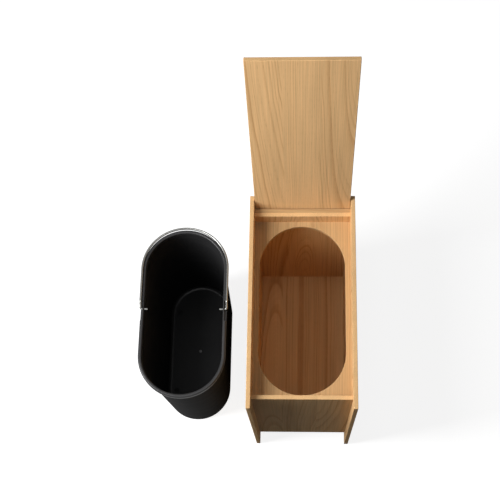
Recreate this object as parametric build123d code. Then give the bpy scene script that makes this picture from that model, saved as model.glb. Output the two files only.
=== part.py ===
from build123d import *
import os
from math import atan, cos, degrees, radians, sin, tan

# A kitchen waste bin: an oak housing with a swinging lid, and beside it the lift-out plastic bucket
# with its wire bail. All sizes are in millimetres, +Z is up and the front faces -Y.

# Housing
housing_width = 200.0
housing_depth = 410.0
housing_height = 414.0
panel_thickness = 8.0
glide_height = 2.0
glide_radius = 3.0
glide_inset = 16.0
front_recess = 21.0
back_recess = 25.0
panel_bottom = 30.0
lid_recess = 14.0
lid_seat_gap = 0.3
board_drop = 28.0
cutout_forward = 2.25
edge_round = 0.8

# Lid and its pivot
lid_side_gap = 1.0
lid_front_setback = 3.5
lid_tail = 9.8
lid_lean = 10.7
stop_rail_height = 36.0
stop_rail_dowel_drop = 18.0
stop_clearance = 0.15
stop_pad_thickness = 0.8
stop_pad_radius = 3.0
stop_pad_drop = 1.0
stop_pad_x = 60.0
pin_radius = 2.0
pin_depth_in_lid = 14.0
pin_reach_in_bush = 5.5
bush_radius = 3.25
bush_length = 6.0
bush_flange_radius = 3.9
bush_flange_thickness = 0.7
pin_running_clearance = 0.08
end_chamfer = 0.4

# Dowels that hold the housing together
dowel_radius = 2.0
dowel_in_side = 5.0
dowel_in_panel = 12.0
wall_dowel_heights = (80.0, 215.0, 345.0)
floor_dowel_places = (-130.0, 0.0, 130.0)
board_dowel_places = (-152.0, 152.0)

# Bucket
bucket_height = 318.5
bucket_top_width = 159.0
bucket_top_length = 331.0
bucket_draft = 9.0
bucket_wall = 2.2
bucket_floor = 2.5
foot_height = 2.0
foot_radius = 7.0
foot_x = 50.0
foot_y = 91.0
foot_dimple_radius = 5.5
foot_dimple_depth = 1.4
outer_floor_round = 5.0
inner_floor_round = 8.0
gate_mark_radius = 3.2
gate_mark_height = 0.9
gate_mark_round = 0.6
rim_overhang = 5.1
rim_lip_height = 9.5
rim_wall = 2.2
rim_outer_round = 3.0
rim_inner_round = 3.0
cutout_side_clearance = 2.5
cutout_end_clearance = 1.0
notch_centre_y = 2.0
notch_half_length = 20.0
notch_floor = 2.0
notch_margin = 1.0

# Bail
wire_radius = 2.25
bail_half_width = 84.6
bail_reach = 172.5
pivot_y = 6.0
pivot_drop = 5.0
bail_rim_gap = 0.2
joggle_length = 14.0
bail_bend_radius = 4.0
bail_tip_inside = 6.5
bail_tip_round = 0.8
bail_hole_clearance = 0.1
boss_radius = 4.6
boss_face_x = 80.3

# Where the bucket stands beside the housing
bucket_spacing = 232.0
bucket_set_back = 3.0

# Derived places, measured from the housing's centre line
half_width = housing_width / 2
half_depth = housing_depth / 2
inner_x = half_width - panel_thickness
lid_top = housing_height - lid_recess
panel_top = lid_top - panel_thickness - lid_seat_gap
floor_top = panel_bottom + panel_thickness
board_top = lid_top - panel_thickness - board_drop
front_face_y = -half_depth + front_recess
front_inner_y = front_face_y + panel_thickness
back_face_y = half_depth - back_recess
back_inner_y = back_face_y - panel_thickness
inside_centre_y = (front_inner_y + back_inner_y) / 2
cutout_centre_y = inside_centre_y - cutout_forward
rail_rear_y = back_face_y + panel_thickness

lean = radians(lid_lean)
open_angle = 90.0 + lid_lean
pivot_z = lid_top - panel_thickness / 2
lid_pivot_y = (rail_rear_y + stop_pad_thickness + stop_clearance
               + panel_thickness / 2 * cos(lean) + lid_tail * sin(lean))
tail_corner_z = pivot_z - lid_tail * cos(lean) + panel_thickness / 2 * sin(lean)
lid_rear_y = lid_pivot_y + lid_tail
lid_half_width = inner_x - lid_side_gap
lid_front_y = -half_depth + lid_front_setback
lid_arm = lid_pivot_y - lid_front_y
lid_highest_back_y = lid_pivot_y + lid_arm * sin(lean) + panel_thickness / 2 * cos(lean)

# The origin is at the bottom centre of the whole set as it stands with the lid open.
total_width = half_width + bucket_spacing + bail_half_width + wire_radius
housing_x = total_width / 2 - half_width
housing_y = (half_depth - lid_highest_back_y) / 2
bucket_x = housing_x - bucket_spacing
bucket_y = housing_y + bucket_set_back

rim_width = bucket_top_width + 2 * rim_overhang
rim_length = bucket_top_length + 2 * rim_overhang
cutout_width = bucket_top_width + 2 * cutout_side_clearance
cutout_length = bucket_top_length + 2 * cutout_end_clearance
body_height = bucket_height - foot_height
draft_angle = degrees(atan(bucket_draft / body_height))
bail_pivot_z = bucket_height - pivot_drop
bail_rest_z = bucket_height + wire_radius + bail_rim_gap


def block(low, high):
    """A box given by its lowest and highest corners."""
    size = [b - a for a, b in zip(low, high)]
    centre = [(a + b) / 2 for a, b in zip(low, high)]
    return Pos(*centre) * Box(*size)


def eased(solid, *axes):
    """The solid with its edges along the named axes rounded by hand-sanding."""
    edges = ShapeList()
    for axis in axes:
        edges += solid.edges().filter_by(axis)
    return fillet(edges, edge_round)


def x_rod(radius, start, end, y, z):
    """A round rod along X from start to end."""
    middle = (start + end) / 2
    return Pos(middle, y, z) * Rot(0, 90, 0) * Cylinder(radius, abs(end - start))


def stadium(width, length):
    """A long oval with half-round ends, lying along Y."""
    return SlotOverall(length, width, rotation=90)


def inside_oval(point, width, length):
    """Whether a point is within the rectangle round an oval, its edge included."""
    margin = 0.01
    return abs(point.X) < width / 2 + margin and abs(point.Y) < length / 2 + margin


def dowel_group(places):
    """Dowels through both ends of a panel, for a list of (y, z) places."""
    rods = []
    for y, z in places:
        for side in (-1, 1):
            start = side * (inner_x + dowel_in_side)
            end = side * (inner_x - dowel_in_panel)
            rods.append(x_rod(dowel_radius, start, end, y, z))
    return rods


front_middle_y = front_face_y + panel_thickness / 2
back_middle_y = back_face_y - panel_thickness / 2
front_dowels = dowel_group([(front_middle_y, z) for z in wall_dowel_heights])
back_dowels = dowel_group([(back_middle_y, z) for z in wall_dowel_heights])
floor_dowels = dowel_group([(inside_centre_y + y, floor_top - panel_thickness / 2)
                            for y in floor_dowel_places])
board_dowels = dowel_group([(inside_centre_y + y, board_top - panel_thickness / 2)
                            for y in board_dowel_places])
rail_dowels = dowel_group([(back_face_y + panel_thickness / 2, panel_top - stop_rail_dowel_drop)])


def side_panel(side):
    """Full-height side whose lower edge is the foot, drilled on the inside for dowels and bush."""
    outer = side * half_width
    inner = side * inner_x
    panel = block((min(outer, inner), -half_depth, glide_height),
                  (max(outer, inner), half_depth, housing_height))
    panel = eased(panel, Axis.X, Axis.Y, Axis.Z)
    for rod in front_dowels + back_dowels + floor_dowels + board_dowels + rail_dowels:
        panel -= rod
    panel -= x_rod(bush_radius, inner - side, inner + side * bush_length, lid_pivot_y, pivot_z)
    return panel


def wall_panel(outer_y, inner_y, dowels):
    """Front or back panel, between the sides."""
    panel = block((-inner_x, min(outer_y, inner_y), panel_bottom),
                  (inner_x, max(outer_y, inner_y), panel_top))
    panel = eased(panel, Axis.X)
    for rod in dowels:
        panel -= rod
    return panel


def lid_stop_rail():
    """Rail along the outside of the back panel's top that the open lid leans on."""
    rail = block((-inner_x, back_face_y, panel_top - stop_rail_height), (inner_x, rail_rear_y, panel_top))
    rail = eased(rail, Axis.X)
    for rod in rail_dowels:
        rail -= rod
    return rail


def floor_panel():
    panel = block((-inner_x, front_inner_y, panel_bottom), (inner_x, back_inner_y, floor_top))
    for rod in floor_dowels:
        panel -= rod
    return panel


def bucket_board():
    """Shelf below the lid whose long oval opening carries the bucket's rim."""
    board = block((-inner_x, front_inner_y, board_top - panel_thickness),
                  (inner_x, back_inner_y, board_top))
    hole = extrude(stadium(cutout_width, cutout_length), panel_thickness)
    board -= Pos(0, cutout_centre_y, board_top - panel_thickness) * hole
    rims = [edge for edge in board.edges() - board.edges().filter_by(Axis.Z)
            if inside_oval(edge.center() - Vector(0, cutout_centre_y, 0), cutout_width, cutout_length)]
    board = fillet(rims, edge_round)
    for rod in board_dowels:
        board -= rod
    return board


def opened(shape):
    """A shape made in the closed lid's place, swung to the open lid's place."""
    hinge_line = Axis((0, lid_pivot_y, pivot_z), (1, 0, 0))
    return shape.rotate(hinge_line, -open_angle)


def lid_pin(side):
    pin = x_rod(pin_radius, side * (lid_half_width - pin_depth_in_lid),
                side * (inner_x + pin_reach_in_bush), lid_pivot_y, pivot_z)
    return chamfer(pin.edges().filter_by(GeomType.CIRCLE), end_chamfer)


def lid_panel():
    panel = block((-lid_half_width, lid_front_y, lid_top - panel_thickness),
                  (lid_half_width, lid_rear_y, lid_top))
    panel = eased(panel, Axis.X, Axis.Y, Axis.Z)
    for side in (-1, 1):
        panel -= x_rod(pin_radius, side * (lid_half_width - pin_depth_in_lid),
                       side * half_width, lid_pivot_y, pivot_z)
    return opened(panel)


def pivot_bush(side):
    """Flanged bush pressed into the side panel, in which the lid's pin turns."""
    inner = side * inner_x
    bush = x_rod(bush_radius, inner, inner + side * bush_length, lid_pivot_y, pivot_z)
    bush += x_rod(bush_flange_radius, inner - side * bush_flange_thickness, inner, lid_pivot_y, pivot_z)
    bore = x_rod(pin_radius + pin_running_clearance, inner - side * bush_flange_thickness,
                 inner + side * bush_length, lid_pivot_y, pivot_z)
    return bush - bore


def stop_pad(side):
    """Rubber dot on the stop rail that the open lid's tail leans on."""
    pad = Rot(90, 0, 0) * Cylinder(stop_pad_radius, stop_pad_thickness)
    pad = chamfer(pad.edges().group_by(Axis.Y)[-1], end_chamfer)
    pad_z = tail_corner_z - stop_pad_drop
    return Pos(side * stop_pad_x, rail_rear_y + stop_pad_thickness / 2, pad_z) * pad


def foot_glides():
    """Four round glides under the ends of the side panels."""
    glides = []
    middle_x = half_width - panel_thickness / 2
    for x in (-middle_x, middle_x):
        for y in (-half_depth + glide_inset, half_depth - glide_inset):
            glide = Cylinder(glide_radius, glide_height)
            glide = chamfer(glide.edges().group_by(Axis.Z)[0], end_chamfer)
            glides.append(Pos(x, y, glide_height / 2) * glide)
    return glides


def tapered(width, length, base_z, top_z):
    """A drafted oval solid whose walls lean outward from base_z to top_z."""
    return Pos(0, 0, base_z) * extrude(stadium(width, length), top_z - base_z, taper=-draft_angle)


def bucket_shell():
    """Moulded bucket: drafted walls, hollow rim with two notches, floor, feet and bail holes."""
    slope = tan(radians(draft_angle))
    base_width = bucket_top_width - 2 * bucket_draft
    base_length = bucket_top_length - 2 * bucket_draft
    outside = tapered(base_width, base_length, foot_height, bucket_height)
    outside = fillet(outside.edges().group_by(Axis.Z)[0], outer_floor_round)

    inner_z = foot_height + bucket_floor
    shrink = 2 * (bucket_wall - slope * bucket_floor)
    inside = tapered(base_width - shrink, base_length - shrink, inner_z, bucket_height)
    inside = fillet(inside.edges().group_by(Axis.Z)[0], inner_floor_round)

    lip_z = bucket_height - rim_lip_height
    rim = Pos(0, 0, lip_z) * extrude(stadium(rim_width, rim_length), rim_lip_height)
    rim = fillet(rim.edges().group_by(Axis.Z)[-1], rim_outer_round)
    under_rim = stadium(rim_width - 2 * rim_wall, rim_length - 2 * rim_wall)
    hollow_rim = rim - Pos(0, 0, lip_z) * extrude(under_rim, rim_lip_height - rim_wall)
    notch_y = (notch_centre_y - notch_half_length, notch_centre_y + notch_half_length)
    notch_walls = rim & block((-rim_width, notch_y[0] - rim_wall, lip_z),
                              (rim_width, notch_y[1] + rim_wall, bucket_height))
    shell = outside + hollow_rim + notch_walls - inside
    mouth = [edge for edge in shell.edges().group_by(Axis.Z)[-1]
             if inside_oval(edge.center(), bucket_top_width, bucket_top_length)]
    shell = fillet(mouth, rim_inner_round)

    for side in (-1, 1):
        near = side * bucket_top_width / 2
        far = side * rim_width
        shell -= block((min(near, far), notch_y[0], lip_z + notch_floor),
                       (max(near, far), notch_y[1], bucket_height + notch_margin))
        shell += x_rod(boss_radius, side * (bucket_top_width - bucket_wall) / 2, side * boss_face_x,
                       pivot_y, bail_pivot_z)
    shell -= x_rod(wire_radius + bail_hole_clearance, -half_width, half_width, pivot_y, bail_pivot_z)

    upright = (Align.CENTER, Align.CENTER, Align.MIN)
    for x in (-foot_x, foot_x):
        for y in (-foot_y, foot_y):
            foot = Cylinder(foot_radius, foot_height + bucket_floor / 2, align=upright)
            shell += Pos(x, y, 0) * foot
            dimple = Cylinder(foot_dimple_radius, 2 * foot_dimple_depth)
            shell -= Pos(x, y, inner_z) * dimple
    gate_mark = Cylinder(gate_mark_radius, gate_mark_height, align=upright)
    gate_mark = fillet(gate_mark.edges().group_by(Axis.Z)[-1], gate_mark_round)
    return shell + Pos(0, 0, inner_z) * gate_mark


def bail_wire():
    """One bent wire: tips through the bucket's walls, a joggle up to the rim, and a half oval."""
    tip_x = bucket_top_width / 2 - bucket_wall - bail_tip_inside
    shoulder_y = bail_reach - bail_half_width

    def leg(side):
        points = [(side * tip_x, pivot_y, bail_pivot_z),
                  (side * bail_half_width, pivot_y, bail_pivot_z),
                  (side * bail_half_width, pivot_y + joggle_length, bail_rest_z),
                  (side * bail_half_width, shoulder_y, bail_rest_z)]
        return FilletPolyline(*points, radius=bail_bend_radius)

    grip = ThreePointArc((bail_half_width, shoulder_y, bail_rest_z), (0, bail_reach, bail_rest_z),
                         (-bail_half_width, shoulder_y, bail_rest_z))
    path = Wire(leg(1).edges() + grip.edges() + leg(-1).edges())
    section = Plane(origin=(tip_x, pivot_y, bail_pivot_z), z_dir=(1, 0, 0)) * Circle(wire_radius)
    bail = sweep(section, path=path)
    tip_edges = [edge for edge in bail.edges().filter_by(GeomType.CIRCLE)
                 if abs(edge.center().X) < tip_x + bail_tip_round and edge.center().Z < bucket_height]
    return fillet(tip_edges, bail_tip_round)


def in_housing(shapes):
    """Housing pieces moved to where the housing stands."""
    place = Pos(housing_x, housing_y, 0)
    if isinstance(shapes, list):
        return Compound([place * shape for shape in shapes])
    return place * shapes


def in_bucket(shape):
    return Pos(bucket_x, bucket_y, 0) * shape


nodes = {
    "side_panel_left": in_housing(side_panel(-1)),
    "side_panel_right": in_housing(side_panel(1)),
    "front_panel": in_housing(wall_panel(front_face_y, front_inner_y, front_dowels)),
    "back_panel": in_housing(wall_panel(back_face_y, back_inner_y, back_dowels)),
    "lid_stop_rail": in_housing(lid_stop_rail()),
    "floor_panel": in_housing(floor_panel()),
    "bucket_board": in_housing(bucket_board()),
    "front_panel_dowels": in_housing(front_dowels),
    "back_panel_dowels": in_housing(back_dowels),
    "floor_panel_dowels": in_housing(floor_dowels),
    "bucket_board_dowels": in_housing(board_dowels),
    "stop_rail_dowels": in_housing(rail_dowels),
    "foot_glides": in_housing(foot_glides()),
    "pivot_bush_left": in_housing(pivot_bush(-1)),
    "pivot_bush_right": in_housing(pivot_bush(1)),
    "lid_stop_pad_left": in_housing(stop_pad(-1)),
    "lid_stop_pad_right": in_housing(stop_pad(1)),
    "lid_panel": in_housing(lid_panel()),
    "lid_pin_left": in_housing(lid_pin(-1)),
    "lid_pin_right": in_housing(lid_pin(1)),
    "bucket_shell": in_bucket(bucket_shell()),
    "bail_wire": in_bucket(bail_wire()),
}

os.makedirs("parts", exist_ok=True)
for name, shape in nodes.items():
    export_step(shape, f"parts/{name}.step")

print("housing centre", round(housing_x, 3), round(housing_y, 3))
print("bucket centre", round(bucket_x, 3), round(bucket_y, 3))
print("lid pivot", round(housing_x, 3), round(housing_y + lid_pivot_y, 3), pivot_z, "closes by", open_angle)
print("bail pivot", round(bucket_x, 3), round(bucket_y + pivot_y, 3), bail_pivot_z)
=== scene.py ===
import math
import bpy
import numpy as np
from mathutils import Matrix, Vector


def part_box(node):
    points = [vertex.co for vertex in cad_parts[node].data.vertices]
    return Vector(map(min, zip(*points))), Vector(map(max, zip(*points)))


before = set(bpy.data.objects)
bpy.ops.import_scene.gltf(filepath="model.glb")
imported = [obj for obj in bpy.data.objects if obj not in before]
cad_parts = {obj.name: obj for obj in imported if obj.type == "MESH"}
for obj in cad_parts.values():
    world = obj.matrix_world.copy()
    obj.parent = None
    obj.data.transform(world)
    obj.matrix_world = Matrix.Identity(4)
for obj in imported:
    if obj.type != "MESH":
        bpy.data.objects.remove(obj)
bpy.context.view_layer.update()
print("frame loaded,", len(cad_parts), "pieces")


class Value:                                     # a number, colour or vector that varies over a surface
    def __init__(self, paint, socket):
        self.paint = paint
        self.socket = socket

    def also(self, output):                      # another output of the node that this one comes from
        return Value(self.paint, self.socket.node.outputs[output])

    def __add__(self, other):
        return self.paint.calculate("ADD", self, other)

    def __sub__(self, other):
        return self.paint.calculate("SUBTRACT", self, other)

    def __rsub__(self, other):
        return self.paint.calculate("SUBTRACT", other, self)

    def __mul__(self, other):
        return self.paint.calculate("MULTIPLY", self, other)

    def __truediv__(self, other):
        return self.paint.calculate("DIVIDE", self, other)

    def __rtruediv__(self, other):
        return self.paint.calculate("DIVIDE", other, self)

    def __gt__(self, other):
        return self.paint.calculate("GREATER_THAN", self, other)

    def __lt__(self, other):
        return self.paint.calculate("LESS_THAN", self, other)

    def __abs__(self):
        return self.paint.calculate("ABSOLUTE", self)

    __radd__ = __add__
    __rmul__ = __mul__

    def root(self):
        return self.paint.calculate("SQRT", self)

    def fract(self):
        return self.paint.calculate("FRACT", self)

    def floor(self):
        return self.paint.calculate("FLOOR", self)

    def smooth(self, low, high):                 # 0 at low, 1 at high, eased between and level beyond them
        sockets = {"Value": self, "From Min": low, "From Max": high}
        return self.paint.node("ShaderNodeMapRange", {"interpolation_type": "SMOOTHSTEP"}, sockets)

    def atLeast(self, least):                    # 0 to 1 brought to least to 1
        return self * (1.0 - least) + least


class Paint:                                     # the nodes of one material or of the world
    def __init__(self, holder):
        self.holder = holder
        holder.use_nodes = True
        self.tree = holder.node_tree
        self.tree.nodes.clear()

    def node(self, kind, settings=None, sockets=None, out=0):
        made = self.tree.nodes.new(kind)
        for key, setting in (settings or {}).items():
            setattr(made, key, setting)
        for key, value in (sockets or {}).items():
            if isinstance(value, Value):
                self.tree.links.new(value.socket, made.inputs[key])
            else:
                made.inputs[key].default_value = value
        return Value(self, made.outputs[out]) if made.outputs else None

    def calculate(self, operation, *numbers):
        return self.node("ShaderNodeMath", {"operation": operation}, dict(enumerate(numbers)))

    def place(self, middle=(0, 0, 0), turn=(0, 0, 0)):   # object coordinates in millimetres from a middle
        where = self.node("ShaderNodeTexCoord", out="Object")
        sockets = {"Vector": where, "Location": middle, "Rotation": turn, "Scale": (0.001, 0.001, 0.001)}
        return self.node("ShaderNodeMapping", {"vector_type": "TEXTURE"}, sockets)

    def facing(self):                            # the way that a face looks, one long
        return self.node("ShaderNodeTexCoord", out="Normal")

    def turned(self, vector, turn):              # the same vector along turned axes
        sockets = {"Vector": vector, "Rotation": turn}
        return self.node("ShaderNodeMapping", {"vector_type": "TEXTURE"}, sockets)

    def split(self, vector):
        x = self.node("ShaderNodeSeparateXYZ", sockets={"Vector": vector})
        return x, x.also("Y"), x.also("Z")

    def join(self, x, y, z):
        return self.node("ShaderNodeCombineXYZ", sockets={"X": x, "Y": y, "Z": z})

    def noise(self, vector, sizes, detail=0):    # 0 to 1, with patches of these sizes along the three axes
        rates = tuple(1.0 / size for size in sizes)
        stretched = self.node("ShaderNodeVectorMath", {"operation": "MULTIPLY"}, {0: vector, 1: rates})
        sockets = {"Vector": stretched, "Scale": 1.0, "Detail": detail}
        return self.node("ShaderNodeTexNoise", sockets=sockets)

    def noiseAlong(self, value, size):           # the same along one number
        sockets = {"W": value, "Scale": 1.0 / size, "Detail": 0.0}
        return self.node("ShaderNodeTexNoise", {"noise_dimensions": "1D"}, sockets)

    def mix(self, factor, first, second):        # the first colour at 0, the second at 1
        return self.node("ShaderNodeMix", {"data_type": "RGBA"}, {0: factor, 6: first, 7: second}, out=2)

    def shade(self, color, amount):              # a colour times a number
        return self.node("ShaderNodeVectorMath", {"operation": "SCALE"}, {"Vector": color, "Scale": amount})

    def bump(self, height, depth, strength):     # height is 0 to 1, depth is in metres
        sockets = {"Height": height, "Distance": depth, "Strength": strength}
        return self.node("ShaderNodeBump", sockets=sockets)

    def surface(self, **sockets):                # Base_Color stands for the socket Base Color
        named = {key.replace("_", " "): value for key, value in sockets.items()}
        return self.finish(self.node("ShaderNodeBsdfPrincipled", sockets=named))

    def finish(self, shader):
        self.node("ShaderNodeOutputMaterial", sockets={"Surface": shader})
        return self.holder


def newPaint(name):
    return Paint(bpy.data.materials.new(name))


def tone(red, green, blue):                      # screen values of 0 to 255 made linear by the sRGB curve
    parts = np.array([red, green, blue]) / 255.0
    linear = np.where(parts <= 0.04045, parts / 12.92, ((parts + 0.055) / 1.055) ** 2.4)
    return (*linear.tolist(), 1.0)


def grey(level):
    return (level, level, level, 1.0)


def distance(x, y):                              # from where both are 0
    return (x * x + y * y).root()


def middleOf(node):
    low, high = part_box(node)
    return tuple((low + high) / 2)


def dress(nodes, material):
    for name in nodes:
        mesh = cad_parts[name].data
        mesh.materials.clear()
        mesh.materials.append(material)


oak = {
    "summer": tone(229, 187, 134),               # smooth wood between the porous lines
    "spring": tone(190, 138, 85),                # the porous line of each year
    "pore": tone(134, 90, 54),
    "logStep": 53.0,                             # mm between two staves' places in the noise
    "logStepAlong": 7.0,                         # times as much along the grain
    "wander": 15.0,                              # mm, slow bend of the grain
    "wanderSizes": (75, 330, 75),                # mm across, along and through the board, as below
    "wanderBelow": 0.6,                          # share of it that goes through the board
    "ripple": 3.6,                               # mm, quick bend of the grain
    "rippleSizes": (14, 90, 14),
    "uneven": 2.6,                               # years by which runs of wide and narrow years drift
    "unevenSize": 17.0,                          # mm, about one such run
    "vigourSize": 0.37,                          # years, less than one, so that each year has its own
    "vigour": (0.3, 0.7),                        # noise at which a year's line is faint and full
    "faintest": 0.2,                             # strength of the faintest year's line
    "lineStarts": (0.0, 0.14),                   # parts of a year over which its porous line starts
    "lineFades": (0.04, 0.6),                    # and over which it fades
    "fineWidth": 1.5,                            # mm, faint lines inside each year
    "poreSizes": (0.4, 14, 0.4),
    "pores": (0.52, 0.72),                       # noise at which a pore starts and is full
    "fewestPores": 0.2,                          # share of pores left between the porous lines
    "streakSizes": (2.2, 190, 2.2),
    "patchSizes": (34, 150, 34),
    "endFace": (0.6, 0.9),                       # how squarely a face cuts the grain
    "endClear": 0.8,                             # how much of lines and pores is lost on end grain
    "lineDepth": 0.60,
    "fineDepth": 0.10,
    "poreDepth": 0.30,
    "streak": 0.40,
    "patch": 0.20,
    "rough": 0.78,
    "poreRough": 0.2,
    "streakRough": 0.1,
    "poreHollow": 0.8,                           # share of the bump that pores go down
    "lineHollow": 0.2,
    "bumpDepth": 0.00004,                        # m
    "bumpStrength": 0.5,
    "specular": 0.12,
}


# A board is glued from staves. Each stave is a slice of its own log: the years are cylinders round a pith
# line that lies beside and below the slice and slowly rises, so that faces show arches and straight lines
# and the ends show arcs. Every value starts as the first stave's and steps to the next one's past its edge.
def oakBoard(node, board):
    paint = newPaint("oak " + node.replace("_", " "))
    across, along, through = paint.split(paint.place(middleOf(node), board["turn"]))
    staves = board["staves"]
    values = staves[0][1:]
    shift = 0.0
    for previous, stave in zip(staves, staves[1:]):
        past = across > previous[0]
        steps = zip(values, previous[1:], stave[1:])
        values = [past * (after - before) + value for value, before, after in steps]
        shift = past * oak["logStep"] + shift
    aside, below, rise, lightness, yearWidth, strength = values
    where = paint.join(across + shift, along + shift * oak["logStepAlong"], through)

    wander = (paint.noise(where, oak["wanderSizes"], detail=1) - 0.5) * oak["wander"]   # to both sides
    ripple = (paint.noise(where, oak["rippleSizes"], detail=1) - 0.5) * oak["ripple"]
    besidePith = across - aside + wander + ripple
    abovePith = through + below + along * rise + wander * oak["wanderBelow"]
    radius = distance(besidePith, abovePith)
    drift = (paint.noiseAlong(radius, oak["unevenSize"]) - 0.5) * oak["uneven"]
    years = radius / yearWidth + drift
    season = years.fract()
    vigour = paint.noiseAlong(years.floor(), oak["vigourSize"]).smooth(*oak["vigour"])
    porous = (1.0 - season.smooth(*oak["lineFades"])) * season.smooth(*oak["lineStarts"])
    fine = abs((radius / oak["fineWidth"] + wander).fract() - 0.5) * 2.0   # 1 to 0 and back in each width

    alongGrain = paint.split(paint.turned(paint.facing(), board["turn"]))[1]
    endFace = abs(alongGrain).smooth(*oak["endFace"])
    clear = 1.0 - endFace * oak["endClear"]
    lines = porous * vigour.atLeast(oak["faintest"]) * clear * strength
    pores = paint.noise(where, oak["poreSizes"], detail=1).smooth(*oak["pores"])
    pores = pores * porous.atLeast(oak["fewestPores"]) * clear
    streak = paint.noise(where, oak["streakSizes"], detail=2) - 0.5
    patch = paint.noise(where, oak["patchSizes"], detail=1) - 0.5

    color = paint.mix(lines * oak["lineDepth"] + fine * oak["fineDepth"], oak["summer"], oak["spring"])
    color = paint.mix(pores * oak["poreDepth"], color, oak["pore"])
    varied = streak * oak["streak"] + patch * oak["patch"] + lightness
    color = paint.shade(color, varied + board["faces"] + endFace * (board["ends"] - board["faces"]))
    rough = pores * oak["poreRough"] + streak * oak["streakRough"] + oak["rough"]
    height = 1.0 - pores * oak["poreHollow"] - lines * oak["lineHollow"]
    return paint.surface(Base_Color=color, Roughness=rough, Specular_IOR_Level=oak["specular"],
                         Normal=paint.bump(height, oak["bumpDepth"], oak["bumpStrength"]))


quarter = math.radians(90)                       # a quarter turn
lidLean = math.radians(10.7)                     # the open lid leans back
upright = (quarter, 0, 0)                        # grain up, face to the front
leaning = (quarter - lidLean, 0, 0)              # grain up the open lid
sideways = (quarter, 0, quarter)                 # grain up, face to the side
lengthwise = (0, 0, -quarter)                    # grain from side to side, face up
flat = (0, 0, 0)                                 # grain from front to back, face up

# "faces" and "ends" are the lightness of a board's faces and of its end grain; for the front panel, the side
# panels and the stop rail the faces' value also holds painted light or shade. A stave is (mm from the board's
# middle to the stave's far edge, mm from the board's middle to the pith, mm of the pith below it, rise of the
# pith, lightness added, mm of one year, strength of the year lines).
boards = {
    "lid_panel": {
        "turn": leaning,
        "faces": 1.0,
        "ends": 0.93,
        "staves": [
            (-33, 16, 50, -0.11, 0.0, 5.8, 1.2),
            (30, -170, 15, 0.01, 0.01, 3.7, 0.7),
            (200, 92, 24, -0.10, -0.03, 6.2, 0.9),
        ],
    },
    "front_panel": {
        "turn": upright,
        # 0.80: the faces are darkened as painted shade for the shaded front face; the top edge keeps 0.98
        "faces": 0.80,
        "ends": 0.98,
        "staves": [
            (-40, -60, 40, 0.05, 0.0, 8.5, 0.9),
            (28, 60, 30, 0.08, -0.02, 9.5, 0.9),
            (200, 20, 60, -0.05, 0.02, 8.0, 0.9),
        ],
    },
    "back_panel": {
        "turn": upright,
        "faces": 1.0,
        "ends": 1.0,
        "staves": [
            (-30, -20, 50, 0.05, 0.0, 6.4, 1.0),
            (40, 5, 18, 0.10, 0.01, 5.2, 0.9),
            (200, 130, 30, -0.05, -0.02, 6.0, 1.0),
        ],
    },
    "side_panel_left": {
        "turn": sideways,
        # 1.12: the faces are lightened as painted light for the shaded inner face; the top edges keep 0.86
        "faces": 1.12,
        "ends": 0.86,
        "staves": [
            (-120, -170, 30, 0.08, 0.0, 5.4, 0.9),
            (-20, -90, 60, -0.06, -0.02, 6.5, 1.0),
            (80, 60, 25, 0.09, 0.01, 5.6, 1.0),
            (300, 150, 40, 0.05, -0.01, 5.0, 0.9),
        ],
    },
    "side_panel_right": {
        "turn": sideways,
        # 0.88: the faces are darkened as painted shade to dim the brightly lit inner face; the top edges keep
        #       0.94
        "faces": 0.88,
        "ends": 0.94,
        "staves": [
            (-130, -150, 40, 0.06, 0.0, 5.4, 0.9),
            (-40, -60, 30, 0.08, 0.01, 6.0, 1.0),
            (60, 10, 60, 0.03, -0.02, 6.6, 1.0),
            (300, 120, 25, -0.08, 0.01, 5.2, 0.9),
        ],
    },
    "floor_panel": {
        "turn": flat,
        "faces": 1.0,
        "ends": 1.0,
        "staves": [
            (-45, -60, 30, 0.06, 0.01, 9.0, 1.0),
            (20, -90, 20, 0.0, -0.02, 10.5, 1.1),
            (200, 130, 20, 0.02, 0.0, 9.0, 1.0),
        ],
    },
    "lid_stop_rail": {
        "turn": lengthwise,
        # 0.68: painted shade, for the rail's top lying in the shade of the open lid above it
        "faces": 0.68,
        "ends": 0.68,
        "staves": [
            (200, 40, 24, 0.03, 0.0, 5.5, 1.0),
        ],
    },
    "bucket_board": {
        "turn": flat,
        "faces": 0.76,
        "ends": 0.76,
        "staves": [
            (-50, -120, 20, 0.0, 0.0, 5.0, 0.8),
            (40, 0, 60, 0.04, 0.01, 6.0, 0.9),
            (200, 140, 30, 0.02, -0.01, 5.2, 0.8),
        ],
    },
}
for node, board in boards.items():
    dress([node], oakBoard(node, board))
print("oak boards finished")


beech = {
    "light": tone(214, 176, 128),
    "dark": tone(186, 142, 96),
    "grainSizes": (40, 0.7, 0.7),                # mm, long the way the dowels lie
    "grainDepth": 0.7,
    "fleckSizes": (3.5, 0.9, 0.25),              # mm
    "flecks": (0.6, 0.75),                       # noise at which a fleck starts and is full
    "fleckDepth": 0.3,
    "rough": 0.6,
    "grainRough": 0.1,
    "bumpDepth": 0.00005,                        # m
    "bumpStrength": 0.4,
    "specular": 0.3,
}


def beechDowels():                               # fine straight grain along the dowels, with short flecks
    paint = newPaint("beech dowels")
    where = paint.place()
    grain = paint.noise(where, beech["grainSizes"], detail=2)
    fleck = paint.noise(where, beech["fleckSizes"]).smooth(*beech["flecks"])
    darker = grain * beech["grainDepth"] + fleck * beech["fleckDepth"]
    color = paint.mix(darker, beech["light"], beech["dark"])
    rough = grain * beech["grainRough"] + beech["rough"]
    return paint.surface(Base_Color=color, Roughness=rough, Specular_IOR_Level=beech["specular"],
                         Normal=paint.bump(grain, beech["bumpDepth"], beech["bumpStrength"]))


dowelled = ["front_panel", "back_panel", "floor_panel", "bucket_board", "stop_rail"]
dress([name + "_dowels" for name in dowelled], beechDowels())
print("dowels finished")


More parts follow.
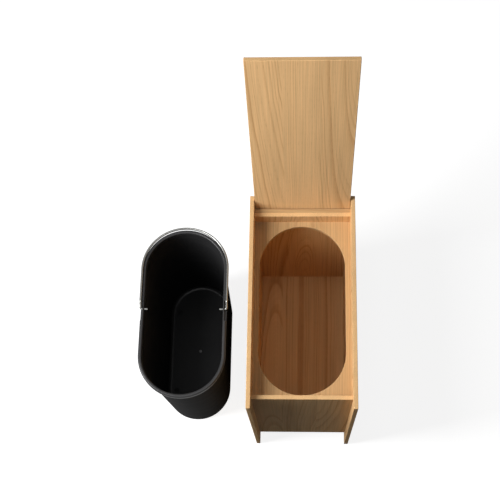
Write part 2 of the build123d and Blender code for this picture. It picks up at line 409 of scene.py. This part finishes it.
plastic = {
    "color": tone(40, 40, 41),
    "worn": tone(50, 50, 51),
    "rimFrom": 309.0,                            # mm over the floor, the rim begins
    "rimGloss": 0.38,
    "footTo": 20.0,                              # mm over the floor, the inside's rounded foot ends
    "bendStarts": (0.02, 0.3),                   # how far up the foot's faces look where it leaves the wall
    "bendEnds": (0.9, 0.995),                    # and where it meets the floor
    "footGloss": 0.7,
    "inward": (0.0, -3.0),                       # mm from the middle the way a face looks, below 0 inside
    "level": (0.3, 0.6),                         # how far up a face looks to count as the inside's floor
    "innerGloss": 0.115,
    "paintedSheenDirection": (-0.7, -0.7),                    # to the left and to the front, towards the lamp, where a sheen is painted on the outside
    "paintedSheenSpread": (-0.6, 0.9),
    # coat of the painted sheen on the outside's faces towards the lamp
    "paintedOuterSheen": 0.065,
    "hollowAt": (50.0, 91.0),                    # mm from the middle to the four round hollows in the floor
    "hollowRadius": 5.5,                         # mm
    "gateRadius": 3.4,                           # mm, the moulding mark in the middle of the floor
    "coatRough": 0.35,
    "sparkSizes": (0.55, 0.55, 0.55),            # mm, the mould's fine texture
    "sparkDepth": 0.00003,                       # m
    "sparkStrength": 0.6,
    "wipeSizes": (60, 60, 14),                   # mm, where it was wiped and handled
    "wipes": (0.35, 0.8),                        # noise at which a wipe starts and is full
    "wipeDepth": 0.5,
    "dustSizes": (5, 5, 5),                      # mm
    "dust": (0.62, 0.8),
    "dustDepth": 0.2,
    "rough": 0.64,
    "sparkRough": 0.08,
    "wipeRough": 0.08,
}


# Where the mould is polished: the rim and the inside's rounded foot shine, and the rest of the inside has a
# satin look. The outside is matt, with a painted sheen of more coat on its faces that look towards the lamp.
# These parts are told by height over the floor, by how far a face looks up and by whether it looks to the
# middle.
def polishAndPaintedSheen(paint, x, y, height):
    faceX, faceY, upward = paint.split(paint.facing())
    inward = (x * faceX + y * faceY).smooth(*plastic["inward"])
    rim = height > plastic["rimFrom"]
    bend = upward.smooth(*plastic["bendStarts"]) * (1.0 - upward.smooth(*plastic["bendEnds"]))
    foot = bend * (height < plastic["footTo"])
    inside = paint.calculate("MAXIMUM", inward, upward.smooth(*plastic["level"]))

    hollowX, hollowY = plastic["hollowAt"]
    hollow = distance(abs(x) - hollowX, abs(y) - hollowY) < plastic["hollowRadius"]
    gate = distance(x, y) < plastic["gateRadius"]
    innerGloss = (1.0 - hollow) * plastic["innerGloss"] + gate

    # painted sheen: more coat on the outside's faces that look towards the lamp
    lampX, lampY = plastic["paintedSheenDirection"]
    paintedSheenMask = (faceX * lampX + faceY * lampY).smooth(*plastic["paintedSheenSpread"])
    paintedOuterSheen = paintedSheenMask * (1.0 - inward) * (1.0 - rim) * plastic["paintedOuterSheen"]
    return rim * plastic["rimGloss"] + foot * plastic["footGloss"] + inside * innerGloss + paintedOuterSheen


def bucketPlastic():
    paint = newPaint("bucket plastic")
    low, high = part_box("bucket_shell")
    middle = (low + high) / 2
    where = paint.place((middle[0], middle[1], low[2]))
    gloss = polishAndPaintedSheen(paint, *paint.split(where))
    spark = paint.noise(where, plastic["sparkSizes"], detail=1)
    wipe = paint.noise(where, plastic["wipeSizes"], detail=3).smooth(*plastic["wipes"])
    dust = paint.noise(where, plastic["dustSizes"], detail=4).smooth(*plastic["dust"])
    paler = wipe * plastic["wipeDepth"] + dust * plastic["dustDepth"]
    color = paint.mix(paler, plastic["color"], plastic["worn"])
    rough = spark * plastic["sparkRough"] + wipe * plastic["wipeRough"] + plastic["rough"]
    return paint.surface(Base_Color=color, Roughness=rough, Specular_IOR_Level=0.0,
                         Normal=paint.bump(spark, plastic["sparkDepth"], plastic["sparkStrength"]),
                         Coat_Weight=gloss, Coat_Roughness=plastic["coatRough"])


dress(["bucket_shell"], bucketPlastic())
print("bucket finished")


rubber = {
    "dark": tone(28, 27, 26),
    "pale": tone(48, 46, 44),
    "grainSizes": (0.5, 0.5, 0.5),               # mm
    "rough": 0.7,
}
glide = {
    "dark": tone(46, 36, 29),
    "pale": tone(68, 54, 44),
    "grainSizes": (0.4, 0.4, 0.4),               # mm
    "rough": 0.45,
}
speckle = {
    "spread": (0.3, 0.7),                        # noise at which the colour is dark and pale
    "grainRough": 0.15,
    "bumpDepth": 0.00006,                        # m
    "bumpStrength": 0.5,
    "specular": 0.3,
}


def speckled(name, look):                        # pads and glides
    paint = newPaint(name)
    grain = paint.noise(paint.place(), look["grainSizes"], detail=3)
    color = paint.mix(grain.smooth(*speckle["spread"]), look["dark"], look["pale"])
    rough = grain * speckle["grainRough"] + look["rough"]
    return paint.surface(Base_Color=color, Roughness=rough, Specular_IOR_Level=speckle["specular"],
                         Normal=paint.bump(grain, speckle["bumpDepth"], speckle["bumpStrength"]))


dress(["lid_stop_pad_left", "lid_stop_pad_right"], speckled("pad rubber", rubber))
dress(["foot_glides"], speckled("glide plastic", glide))


steel = {
    "color": tone(136, 136, 133),
    "dim": tone(104, 104, 102),
    "bailLines": (0.6, 2.5, 0.6),                # mm, longest along the bail's sides
    "pinLines": (4.0, 0.3, 0.3),                 # mm, longest along the pins
    "lineDepth": 0.5,
    "smearSizes": (16, 16, 16),                  # mm
    "smearDepth": 0.3,
    "rough": 0.14,
    "lineRough": 0.14,
    "smearRough": 0.1,
    "bumpDepth": 0.00001,                        # m
    "bumpStrength": 0.4,
}


def drawnSteel(name, lineSizes):                 # fine lines left by drawing the wire
    paint = newPaint(name)
    where = paint.place()
    drawn = paint.noise(where, lineSizes, detail=3)
    smear = paint.noise(where, steel["smearSizes"], detail=2)
    dimmer = drawn * steel["lineDepth"] + smear * steel["smearDepth"]
    color = paint.mix(dimmer, steel["color"], steel["dim"])
    rough = drawn * steel["lineRough"] + smear * steel["smearRough"] + steel["rough"]
    return paint.surface(Base_Color=color, Metallic=1.0, Roughness=rough,
                         Normal=paint.bump(drawn, steel["bumpDepth"], steel["bumpStrength"]))


dress(["bail_wire"], drawnSteel("bail steel", steel["bailLines"]))
dress(["lid_pin_left", "lid_pin_right"], drawnSteel("pin steel", steel["pinLines"]))


brass = {
    "color": tone(196, 160, 92),
    "tarnish": tone(142, 106, 58),
    "turnedSizes": (0.15, 2.0, 2.0),             # mm, narrow along the bush, as a tool's marks are
    "tarnishSizes": (2.2, 2.2, 2.2),             # mm
    "tarnishSpread": (0.45, 0.75),               # noise at which tarnish starts and is full
    "tarnishDepth": 0.6,
    "rough": 0.34,
    "turnedRough": 0.12,
    "tarnishRough": 0.15,
    "bumpDepth": 0.00001,                        # m
    "bumpStrength": 0.4,
}


def bushBrass():                                 # turned brass with a little tarnish
    paint = newPaint("bush brass")
    where = paint.place()
    turned = paint.noise(where, brass["turnedSizes"], detail=2)
    tarnish = paint.noise(where, brass["tarnishSizes"], detail=3).smooth(*brass["tarnishSpread"])
    color = paint.mix(tarnish * brass["tarnishDepth"], brass["color"], brass["tarnish"])
    rough = turned * brass["turnedRough"] + tarnish * brass["tarnishRough"] + brass["rough"]
    return paint.surface(Base_Color=color, Metallic=1.0, Roughness=rough,
                         Normal=paint.bump(turned, brass["bumpDepth"], brass["bumpStrength"]))


dress(["pivot_bush_left", "pivot_bush_right"], bushBrass())
print("small pieces finished")


def shown(paint):                                # 1 for what is seen, also in metal or through glass
    direct = paint.node("ShaderNodeLightPath", out="Is Camera Ray")
    rays = direct + direct.also("Is Glossy Ray") + direct.also("Is Transmission Ray")
    return paint.calculate("MINIMUM", rays, 1.0)


ground = {
    "reach": 7.0,                                # m from the middle to each side
    "seen": 0.35,                                # its own grey, on which the shadows show
    "glow": 0.86,                                # light added to that where the camera looks, 1 is white
    "white": (900, 2600),                        # mm from the middle, over which it fades to the white beyond
    "bounce": 0.03,                              # its grey for the light that it throws back at the object
}


def floorPlane():                                # one square, wide enough to reach past every view
    reach = ground["reach"]
    corners = [(-reach, -reach, 0), (reach, -reach, 0), (reach, reach, 0), (-reach, reach, 0)]
    mesh = bpy.data.meshes.new("floor")
    mesh.from_pydata(corners, [], [(0, 1, 2, 3)])
    plane = bpy.data.objects.new("floor", mesh)
    bpy.context.scene.collection.objects.link(plane)
    paint = newPaint("pale floor")
    x, y, _ = paint.split(paint.place())
    far = distance(x, y).smooth(*ground["white"])
    pale = paint.node("ShaderNodeBsdfDiffuse", sockets={"Color": grey(ground["seen"])})
    glow = paint.node("ShaderNodeEmission", sockets={"Color": far.atLeast(ground["glow"])})
    bright = paint.node("ShaderNodeAddShader", sockets={0: pale, 1: glow})
    quiet = paint.node("ShaderNodeBsdfDiffuse", sockets={"Color": grey(ground["bounce"])})
    both = paint.node("ShaderNodeMixShader", sockets={0: shown(paint), 1: quiet, 2: bright})
    mesh.materials.append(paint.finish(both))


floorPlane()


light = {
    "aim": (0.109, -0.03, 0.40),                 # m, the middle of the housing's top, where both lamps point
    "key": {"from": (-1.04, -0.28, 1.34), "wide": 1.5, "deep": 0.5, "power": 37.0},   # m and watts
    "top": {"from": (0.10, -0.10, 2.20), "wide": 0.5, "deep": 0.5, "power": 3.3},
    "sky": 0.040,                                # strength of the light from all round on the object
}


def softBox(name):
    settings = light[name]
    lamp = bpy.data.lights.new(name, "AREA")
    lamp.shape = "RECTANGLE"
    lamp.size = settings["deep"]
    lamp.size_y = settings["wide"]
    lamp.energy = settings["power"]
    holder = bpy.data.objects.new(name, lamp)
    bpy.context.scene.collection.objects.link(holder)
    across, back, up = np.array(light["aim"]) - np.array(settings["from"])
    tilt = math.atan2(math.hypot(across, back), -up)
    holder.location = settings["from"]
    holder.rotation_euler = (tilt, 0, math.atan2(back, across) - quarter)


softBox("key")
softBox("top")


def sky():                                       # white where it is seen, dim where it lights
    world = bpy.data.worlds.new("studio")
    bpy.context.scene.world = world
    paint = Paint(world)
    strength = shown(paint).atLeast(light["sky"])
    white = paint.node("ShaderNodeBackground", sockets={"Color": grey(1.0), "Strength": strength})
    paint.node("ShaderNodeOutputWorld", sockets={"Surface": white})


sky()


view = {
    "place": (0.113165, -0.537456, 1.9981),      # m
    "lens": 65.07,                               # mm on a 36 mm sensor
    "turn": (17.533, 2.166, 0.143),              # degrees from straight down: tilt, pan and roll
    "shift": (-0.04, 0.1),                       # the photo's frame sits above and left of the line of sight
}


def camera():
    lens = bpy.data.cameras.new("camera")
    lens.lens = view["lens"]
    lens.shift_x, lens.shift_y = view["shift"]
    holder = bpy.data.objects.new("camera", lens)
    bpy.context.scene.collection.objects.link(holder)
    holder.rotation_mode = "ZYX"
    holder.location = view["place"]
    holder.rotation_euler = [math.radians(turn) for turn in view["turn"]]
    bpy.context.scene.camera = holder


camera()
bpy.context.scene.view_settings.view_transform = "Standard"
print("floor, light and camera set")
